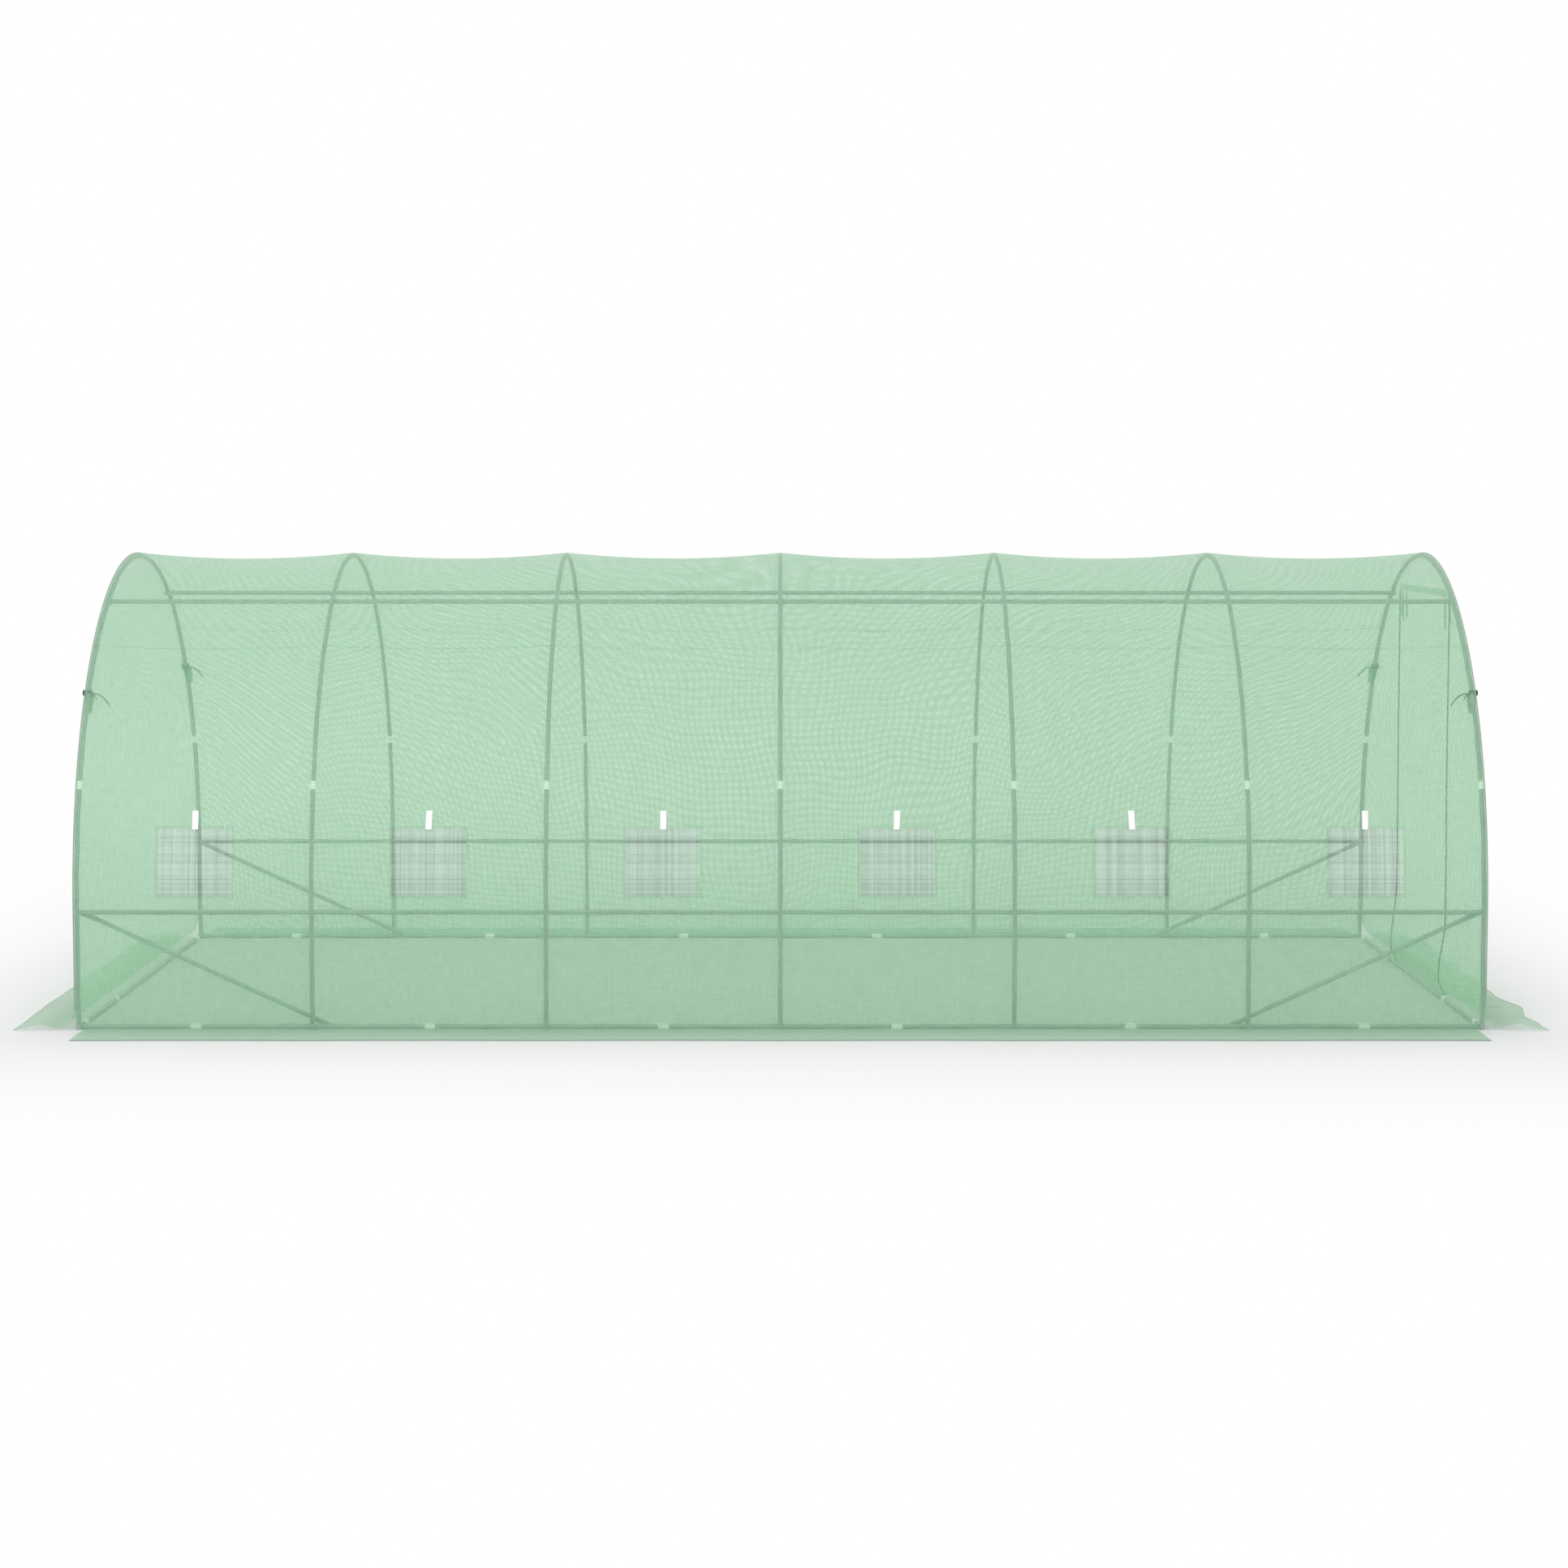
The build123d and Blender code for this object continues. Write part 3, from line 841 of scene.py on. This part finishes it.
zip_rib = 0.0022
zip_stand = 0.0014
zip_thick = 0.0008
zip_step = 0.02
zip_tape = zip_finish("zip_tape", tint(50, 78, 61), tint(80, 112, 92))
zip_nylon = zip_finish("zip_teeth", tint(22, 36, 28), tint(44, 62, 51))
zip_foot = 0.008
tooth_pitch = 0.006
tooth_stand = 0.0004
tooth_depth_share = 1.4
tooth_sides = 6
tooth_profile = ((-0.004, 0.0012), (-0.003, 0.003), (0.003, 0.003), (0.004, 0.0012))
last_tooth = door_top - 0.01
slider_height = 1.72
slider_stand = 0.003
slider_thick = 0.0034
slider_profile = ((-0.009, 0.0035), (-0.007, 0.0055), (0.004, 0.007), (0.008, 0.0055), (0.01, 0.003))
pull_stand = 0.0075
pull_lean = 0.05
pull_thick = 0.0009
pull_profile = ((0.002, 0.0026), (-0.004, 0.0034), (-0.026, 0.0042), (-0.034, 0.0036), (-0.037, 0.0016))
zips = ([], [])
teeth = ([], [])
for side in (-1, 1):
    heights = spaced(zip_foot, door_top, zip_step)
    skin(zips, [flat_ring(zip_point(side, z), across * zip_half, along * zip_thick) for z in heights])
    for height in spaced(zip_foot + tooth_pitch, last_tooth, tooth_pitch):
        tooth = zip_point(side, height, tooth_stand)
        skin(teeth, [ring(tooth + across * s, along * r * tooth_depth_share, up * r, tooth_sides)
                     for s, r in tooth_profile])
    slider = []
    for rise, half in slider_profile:
        middle = zip_point(side, slider_height + rise, slider_stand)
        slider.append(flat_ring(middle, across * half, along * slider_thick))
    skin(teeth, slider)
    pull = []
    for rise, half in pull_profile:
        middle = zip_point(side, slider_height + rise, pull_stand - rise * pull_lean)
        pull.append(flat_ring(middle, across * half, along * pull_thick))
    skin(teeth, pull)
make_piece("door_zip_tapes", zips, zip_tape, ["door_zips"])
make_piece("door_zip_teeth", teeth, zip_nylon)


# Door hem: a doubled strip of film over the top of the door, the full width between the zips.
# It is welded to the wall above, and the door hangs from it.

def hem_rule(y, height):
    """The rule of the hem, which lies flat on the wall."""
    return Vector((wall_x + door_hem_stand + wall_bow(1, y, height), y, height)), (y, height)


door_hem_stand = 0.0016
door_hem_step = 0.01
door_hem_low, door_hem_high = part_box("door_hem")
hem_columns = spaced(door_hem_low.y, door_hem_high.y, film_step)
hem_rows = spaced(door_hem_low.z, door_hem_high.z, door_hem_step)
film_folded = film_finish("folded_film", film_green, film_pale, 0.68)
door_hem = cloth("door_hem_strip", [(hem_columns, hem_rows, hem_rule)], film_folded, ["door_hem"])
hem_columns[-1] - hem_columns[0]
hem_rows[-1] - hem_rows[0]


# Door straps: two pairs of narrow woven tapes sewn under the hem, to tie round the rolled door.
# Untied they hang loose, each twisted until its edge is towards the film, the ends curled a little.

strap_half = 0.0045
strap_thick = 0.0007
strap_stand = 0.0034
strap_seam = 0.012
strap_sway = 0.006
strap_curl = 0.004
strap_twist = math.radians(75)
strap_drop = ((-0.457, 0.165), (-0.553, 0.12), (0.457, 0.14), (0.553, 0.162))
straps = ([], [])
for y, drop in strap_drop:
    rings = []
    for share in spaced(0, 1, 1 / 14):
        height = door_hem_low.z + strap_seam - drop * share
        sway = strap_sway * math.sin(share * 5 + y * 9) * share
        turn = strap_twist * settle(share * 3)
        wide = across * math.cos(turn) + along * math.sin(turn)
        thick = along * math.cos(turn) - across * math.sin(turn)
        stand = strap_stand + strap_curl * share * share + strap_half * math.sin(turn)
        centre = Vector((wall_x + wall_bow(1, y, height) + stand, y + sway, height))
        rings.append(flat_ring(centre, wide * strap_half, thick * strap_thick))
    skin(straps, rings)
make_piece("door_straps", straps, zip_tape)


# Hoop ties: three turns of dark green braided lace round each side of the end hoops, through the end seam.
# They lie flat between the tube and the cover, pass outside the end wall, and are drawn up in a knot
# on the inner side of the tube, with two ends cut short.

def lace_finish():
    """Braided lace: two sets of slanting plaits, with painted shade in the hollows between them."""
    material, paint = new_finish("lace")
    place = paint.add("ShaderNodeTexCoord", {}, {}).out("Object")
    run = paint.add("ShaderNodeSeparateXYZ", {}, {0: place})
    lean = run + run.out("Y")
    plait_relief_and_shade = ((lean + run.out("Z")) * 900).to("SINE") * ((lean - run.out("Z")) * 900).to("SINE")
    fuzz = soft_noise(place, 500.0, 3.0)
    # The plait term darkens the lace between the plaits: painted shade in the hollows, as well as the relief.
    shade = (plait_relief_and_shade * 0.25 + fuzz * 0.5 + 0.25).between(tint(20, 34, 26), tint(46, 68, 54))
    sockets = {"Base Color": shade, "Roughness": fuzz * 0.2 + 0.6}
    return finished(material, surface(sockets, plait_relief_and_shade + fuzz, 0.5, 0.0006))


def hoop_out(turn):
    """The direction straight out from a hoop's middle, at an angle above the top of its front leg."""
    return (on_hoop(0, turn) - on_hoop(0, turn, 1)).normalized()


end_hoops = {-1: hoop_places[0], 1: hoop_places[-1]}
lace_radius = 0.0027
lace_sides = 8
lace_flat = 0.0014
tie_outside = 0.0222
tie_slack = 1.35
tie_inside = 0.0129
tie_under = 0.0117
tie_shifts = (-0.005, 0.0, 0.005)
tie_squareness = 0.6
tie_sway = 0.001
knot_aside = 0.011
knot_swing = 0.0016
knot_depth = 0.0028
stub_inward = 0.004
stub_share = 0.8
short_ends = (((0, 0), (0.004, 0.004), (0.011, 0.002), (0.016, -0.007), (0.018, -0.018)),
              ((0, 0), (-0.007, 0.006), (-0.014, 0.002), (-0.0165, -0.01), (-0.017, -0.028)))
loop_sides = 40
knot_sides = 60
lace_low, lace_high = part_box("front_right_lace")
knot_y = (lace_low.y + lace_high.y) / 2
lace_diameter = lace_high.y - lace_low.y
tie_angle = math.atan2(lace_high.z - lace_diameter / 2 - spring_height, -knot_y)
knot_inward = hoop_radius + knot_y / math.cos(tie_angle)
lace = lace_finish()
ties = ([], [])
for end in (-1, 1):
    place = end_hoops[end]
    for turn in (tie_angle, math.pi - tie_angle):
        out = hoop_out(turn)
        way = out.cross(along)
        for shift in tie_shifts:
            loop = []
            for n in range(loop_sides):
                angle = 2 * math.pi * n / loop_sides
                round_x = math.copysign(abs(math.cos(angle)) ** tie_squareness, math.cos(angle))
                round_out = math.copysign(abs(math.sin(angle)) ** tie_squareness, math.sin(angle))
                wide = tie_outside if round_x * end > 0 else tie_inside
                high = tie_under if round_out > 0 else tie_inside
                centre = on_hoop(place, turn) + out * high * round_out + along * wide * round_x
                loop.append(centre + way * (shift + tie_sway * math.sin(3 * angle)))
            rings = []
            for n in range(loop_sides):
                forward = (loop[(n + 1) % loop_sides] - loop[n - 1]).normalized()
                offset = loop[n] - on_hoop(place, turn)
                covered = offset.dot(out) > tube_radius
                loose = lace_radius * (tie_slack if offset.x * end > tie_inside else 1)
                thick = lace_flat if covered else loose
                rings.append(ring(loop[n], way * loose, forward.cross(way) * thick, lace_sides))
            skin(ties, rings, joined=True)
        centre = on_hoop(place, turn, knot_inward) - along * end * knot_aside
        knot = []
        for n in range(knot_sides):
            t = 2 * math.pi * n / knot_sides
            swing = along * (math.sin(t) + 2 * math.sin(2 * t)) + way * (math.cos(t) - 2 * math.cos(2 * t))
            knot.append(centre + swing * knot_swing - out * math.sin(3 * t) * knot_depth)
        rings = []
        for n in range(knot_sides):
            forward = (knot[(n + 1) % knot_sides] - knot[n - 1]).normalized()
            side = forward.cross(out).normalized()
            rings.append(ring(knot[n], side * lace_radius, forward.cross(side) * lace_radius, lace_sides))
        skin(ties, rings, joined=True)
        for short_end in short_ends:
            root = centre - out * stub_inward
            stub = [root - along * end * reach + up * rise for reach, rise in short_end]
            skin(ties, cord_rings(stub, lace_radius * stub_share, lace_sides))
make_piece("hoop_lacing", ties, lace, ["hoop_ties"])


# Lace tails: the long end of each tie, of the same braided cord, cut off square.
# It comes loose from the knot and droops into the tunnel.

lace_route = ((0, 0), (0.022, 0), (0.044, -0.009), (0.064, -0.027), (0.080, -0.051))
lace_lift = 0.007
for side in ("front", "back"):
    for end in ("left", "right"):
        node = f"{side}_{end}_lace"
        low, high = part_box(node)
        start_x, inward = (high.x, -1) if end == "right" else (low.x, 1)
        y = (low.y + high.y) / 2
        top = high.z - lace_diameter / 2 + lace_lift
        points = [(start_x + inward * reach, y, top + height) for reach, height in lace_route]
        line = bpy.data.curves.new(f"{node}_tail", "CURVE")
        line.dimensions = "3D"
        line.bevel_depth = lace_diameter / 2
        line.bevel_resolution = 3
        line.use_fill_caps = True
        line.resolution_u = 16
        spline = line.splines.new("NURBS")
        spline.points.add(len(points) - 1)
        for control, point in zip(spline.points, points):
            control.co = (*point, 1)
        spline.order_u = 3
        spline.use_endpoint_u = True
        line.materials.append(lace)
        tail = bpy.data.objects.new(f"{node}_tail", line)
        bpy.context.scene.collection.objects.link(tail)
        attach(tail, "root")
        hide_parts(node)


# Tie flaps: a tongue of film under each tie, folded round the inner side of the hoop tube.
# It is cut from the edge of the end wall and narrows towards its foot.

flap_length = 0.09
flap_wrap = math.pi * 1.05
flap_stand = 0.0026
flap_radius = tube_radius + flap_stand
flap_below = 0.006
flap_narrowing_share = 0.45
flap_turn = 0.5
flap_crumple = 0.002
crumple_across, crumple_down = 4, 40
flap_flare = 0.011
flare_turn = 1.4
flap_area_share = 0.78
flap_film = film_finish("flap_film", tint(98, 146, 112), tint(136, 184, 149), 0.9)
flap_shares = spaced(-0.5, 0.5, 1 / 12)
flap_runs = spaced(0, flap_length, 0.01)
flap_patches = []
for end in (-1, 1):
    for side in (-1, 1):
        def flap_rule(share, run, end=end, side=side):
            """The rule of one tongue: round the tube by a share of its wrap, down the hoop by a run."""
            turn = tie_angle - (run + flap_below) / hoop_radius
            if side > 0:
                turn = math.pi - turn
            narrow = 1 - flap_narrowing_share * settle(run / flap_length)
            angle = flap_wrap * share * narrow + flap_turn * settle(run / flap_length)
            crumple = noise.noise(Vector((share * crumple_across, run * crumple_down, end + side * 3.0)))
            stand = flap_radius + flap_crumple * (1 + crumple)
            stand += flap_flare * settle(angle / flare_turn)
            turned = -hoop_out(turn) * math.cos(angle) - along * end * math.sin(angle)
            return on_hoop(end_hoops[end], turn) + turned * stand, (share * flap_wrap * stand, run)
        flap_patches.append((flap_shares, flap_runs, flap_rule))
flaps = cloth("tie_flaps", flap_patches, flap_film)
flap_width = len(flap_patches) * flap_wrap * (flap_radius + flap_flare / 2)
flap_width * flap_length * flap_area_share


# Skirts: the film runs on past the foot of every wall and lies on the ground, to be dug in.
# It turns out in an easy bend and lies in low waves, more crumpled at the ends of the tunnel.
# A narrow rolled hem runs along each free edge.

def turned_out(foot, out, run, bend, width, wave):
    """A point of a skirt: down the wall, round the bend and out over the ground."""
    arc = bend * math.pi / 2
    if run < arc:
        turn = run / bend
        away = bend * (1 - math.cos(turn))
        height = bend * (1 - math.sin(turn))
    else:
        away = bend + run - arc
        height = 0.0
    lift = wave * settle((run - arc * wave_start_share) / (width * wave_reach_share))
    lift *= 1 - edge_calm_share * settle(run / width * 2.5 - 1.5)
    return foot + out * away + up * (height + skirt_lift + lift)


def side_skirt_rule(side):
    """The rule of the skirt along the front or back."""
    def rule(share, run):
        half = skirt_high.x + (film_half - skirt_high.x) * (1 - settle(run / (side_bend * 2)))
        place = share * half
        foot = Vector((place, side * (film_radius - draw_in(place, 0)), 0))
        wave = side_wave * (1 + noise.noise(Vector((place * 2.1, run * 4, side * 5.0))))
        return turned_out(foot, across * side, run, side_bend, side_run, wave), (place, -run)
    return rule


def end_skirt_rule(end, rough):
    """The rule of the skirt along one end, its corners rounded off and its free edge uneven."""
    def rule(share, run):
        y = share * (film_radius + end_reach * settle(run / end_run))
        wander = noise.noise(Vector((y * 3.1, run * 2.0, end * 9.0)))
        wander += fine_wander * noise.noise(Vector((y * 8.0, run * 2.0, end * 5.0)))
        reach = 1 + rough * end_wander * wander * settle(run / end_run)
        crumple = noise.noise(Vector((y * 5.0, run * 6.0, end * 4.0)))
        wave = max(end_wave_least, end_wave * rough * crumple + end_wave_mean)
        foot = Vector((end * (wall_x + wall_bow(end, y, end_bend)), y, 0))
        return turned_out(foot, along * end, run * reach, end_bend, end_run, wave), (y, -run)
    return rule


def lay_skirt(name, shares, rows, rule, flat, bead, hem_finish):
    """One skirt on the ground, with the rolled hem along its free edge."""
    skirt = cloth(f"{name}_shaded_skirt_film", [(shares, rows, rule)], shaded_skirt_film, [f"{name}_skirt"])
    edge = [rule(share, flat[1])[0] + up * hem_raise for share in shares]
    roll = ([], [])
    skin(roll, cord_rings(edge, bead, 8))
    hem = make_piece(f"{name}_skirt_hem", roll, hem_finish)


skirt_lift = 0.0022
skirt_step = 0.02
wave_start_share = 0.6
wave_reach_share = 0.4
edge_calm_share = 0.85
side_wave = 0.004
side_bead = 0.0022
end_wander, fine_wander = 0.3, 0.35
end_wave, end_wave_mean, end_wave_least = 0.09, 0.026, 0.002
end_bead = 0.0014
hem_raise = 0.0004
seam = seam_finish("film_seam", tint(138, 180, 149), tint(164, 202, 174))
# The side skirts' hem is grey: partly a real rolled hem, partly painted shadow of the thin gap under the
# skirt's free edge.
shadow_grey_skirt_hem = seam_finish("shadow_grey_skirt_hem", tint(122, 142, 127), tint(150, 168, 154))
skirt_low, skirt_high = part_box("front_skirt")
side_run = -skirt_low.y - film_radius - side_bend + side_bend * math.pi / 2
end_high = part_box("right_skirt")[1]
end_run = end_high.x - wall_x - end_bend + end_bend * math.pi / 2
end_reach = end_high.y - film_radius
# The skirts' film is a darker, greyer copy of the sheets' film: painted shade of the film lying on the
# ground.
shaded_skirt_film = film_finish("shaded_skirt_film", tint(131, 181, 143), tint(180, 225, 190), 0.56)
side_shares = [place / film_half for place in spaced(-film_half, film_half, film_step, hoop_places)]
side_flat = (2 * film_half, side_run)
side_skirt_rows = spaced(0, side_run, skirt_step)
for name, side in (("front", -1), ("back", 1)):
    lay_skirt(name, side_shares, side_skirt_rows, side_skirt_rule(side), side_flat, side_bead, shadow_grey_skirt_hem)
end_shares = spaced(-1, 1, 1 / 60)
end_flat = (2 * (film_radius + end_reach), end_run)
end_rows = spaced(0, end_run, skirt_step)
for name, end, rough in (("left", -1, 0.12), ("right", 1, 0.4)):
    lay_skirt(name, end_shares, end_rows, end_skirt_rule(end, rough), end_flat, end_bead, seam)


# Studio: a wide pale floor under an even white sky, with one soft lamp to the left of the camera.
# The floor keeps its rendered shadow, with a painted shadow round it that fades to the white of the sky
# beyond.

def floor_finish():
    """Matt grey with its rendered shadow near the greenhouse, fading by a painted shadow falloff to the sky's
    white.
    """
    material, paint = new_finish("studio_floor")
    place = paint.add("ShaderNodeTexCoord", {}, {}).out("Object")
    reach = paint.add("ShaderNodeSeparateXYZ", {}, {0: place})
    # Painted shadow: these distances decide where the grey matt floor shows, soon fading in front and beside,
    # slowly behind.
    beside = (reach.to("ABSOLUTE") - film_half).to("MAXIMUM", 0.0) * beside_pull
    before = (reach.out("Y") * -1 - film_radius).to("MAXIMUM", 0.0)
    behind = (reach.out("Y") - film_radius).to("MAXIMUM", 0.0) * behind_pull
    away = (beside * beside + before * before + behind * behind).to("POWER", fade_power) * fade_scale
    fade = {"From Min": fade_start, "From Max": fade_end, "To Min": 0.0, "To Max": 1.0}
    plain = paint.add("ShaderNodeMapRange", {"interpolation_type": "SMOOTHSTEP"}, {"Value": away, **fade})
    light = paint.add("ShaderNodeLightPath", {}, {})
    seen = light.out("Is Camera Ray").to("MAXIMUM", light.out("Is Glossy Ray"))
    seen = seen.to("MAXIMUM", light.out("Is Transmission Ray"))
    matt = paint.add("ShaderNodeBsdfDiffuse", {}, {"Color": floor_shade})
    white = paint.add("ShaderNodeEmission", {}, {"Color": (1, 1, 1, 1), "Strength": 1.0})
    shader = paint.add("ShaderNodeMixShader", {}, {0: plain * seen, 1: matt, 2: white})
    return finished(material, shader)


floor_half = 60.0
floor_shade = (0.71, 0.71, 0.71, 1)
beside_pull = 1.8
behind_pull = 0.22
fade_power = 0.2
fade_scale = 1.1
fade_start = 0.05
fade_end = 1.8
floor_mesh = bpy.data.meshes.new("studio_floor")
corners = ((-1, -1), (1, -1), (1, 1), (-1, 1))
floor_mesh.from_pydata([(x * floor_half, y * floor_half, 0) for x, y in corners], [], [(0, 1, 2, 3)])
floor_mesh.materials.append(floor_finish())
floor = bpy.data.objects.new("studio_floor", floor_mesh)
bpy.context.scene.collection.objects.link(floor)

world = bpy.data.worlds.new("studio_sky")
bpy.context.scene.world = world
world.use_nodes = True
sky = world.node_tree.nodes["Background"]
sky.inputs["Color"].default_value = (1, 1, 1, 1)
sky.inputs["Strength"].default_value = 1.0

lamp_place = Vector((-4.5, -10.5, 9.0))
lamp_size = 7.0
lamp_power = 350.0
lamp = bpy.data.lights.new("studio_lamp", "AREA")
lamp.shape = "DISK"
lamp.size = lamp_size
lamp.energy = lamp_power
lamp_stand = bpy.data.objects.new("studio_lamp", lamp)
lamp_stand.location = lamp_place
lamp_stand.rotation_euler = (up - lamp_place).to_track_quat("-Z", "Y").to_euler()
bpy.context.scene.collection.objects.link(lamp_stand)

photo_width = 1932
focal_pixels = 4077.16
middle_x, middle_y = 961.397, 937.73
camera_back, camera_height = 15.4607, 2.2508
camera_tilt = 4.5168
lens = bpy.data.cameras.new("studio_camera")
lens.sensor_width = 36
lens.lens = lens.sensor_width * focal_pixels / photo_width
lens.shift_x = (photo_width / 2 - middle_x) / photo_width
lens.shift_y = (middle_y - photo_width / 2) / photo_width
camera = bpy.data.objects.new("studio_camera", lens)
camera.location = (0, -camera_back, camera_height)
camera.rotation_euler = (math.radians(90 - camera_tilt), 0, 0)
bpy.context.scene.collection.objects.link(camera)
bpy.context.scene.camera = camera
bpy.context.scene.view_settings.view_transform = "Standard"
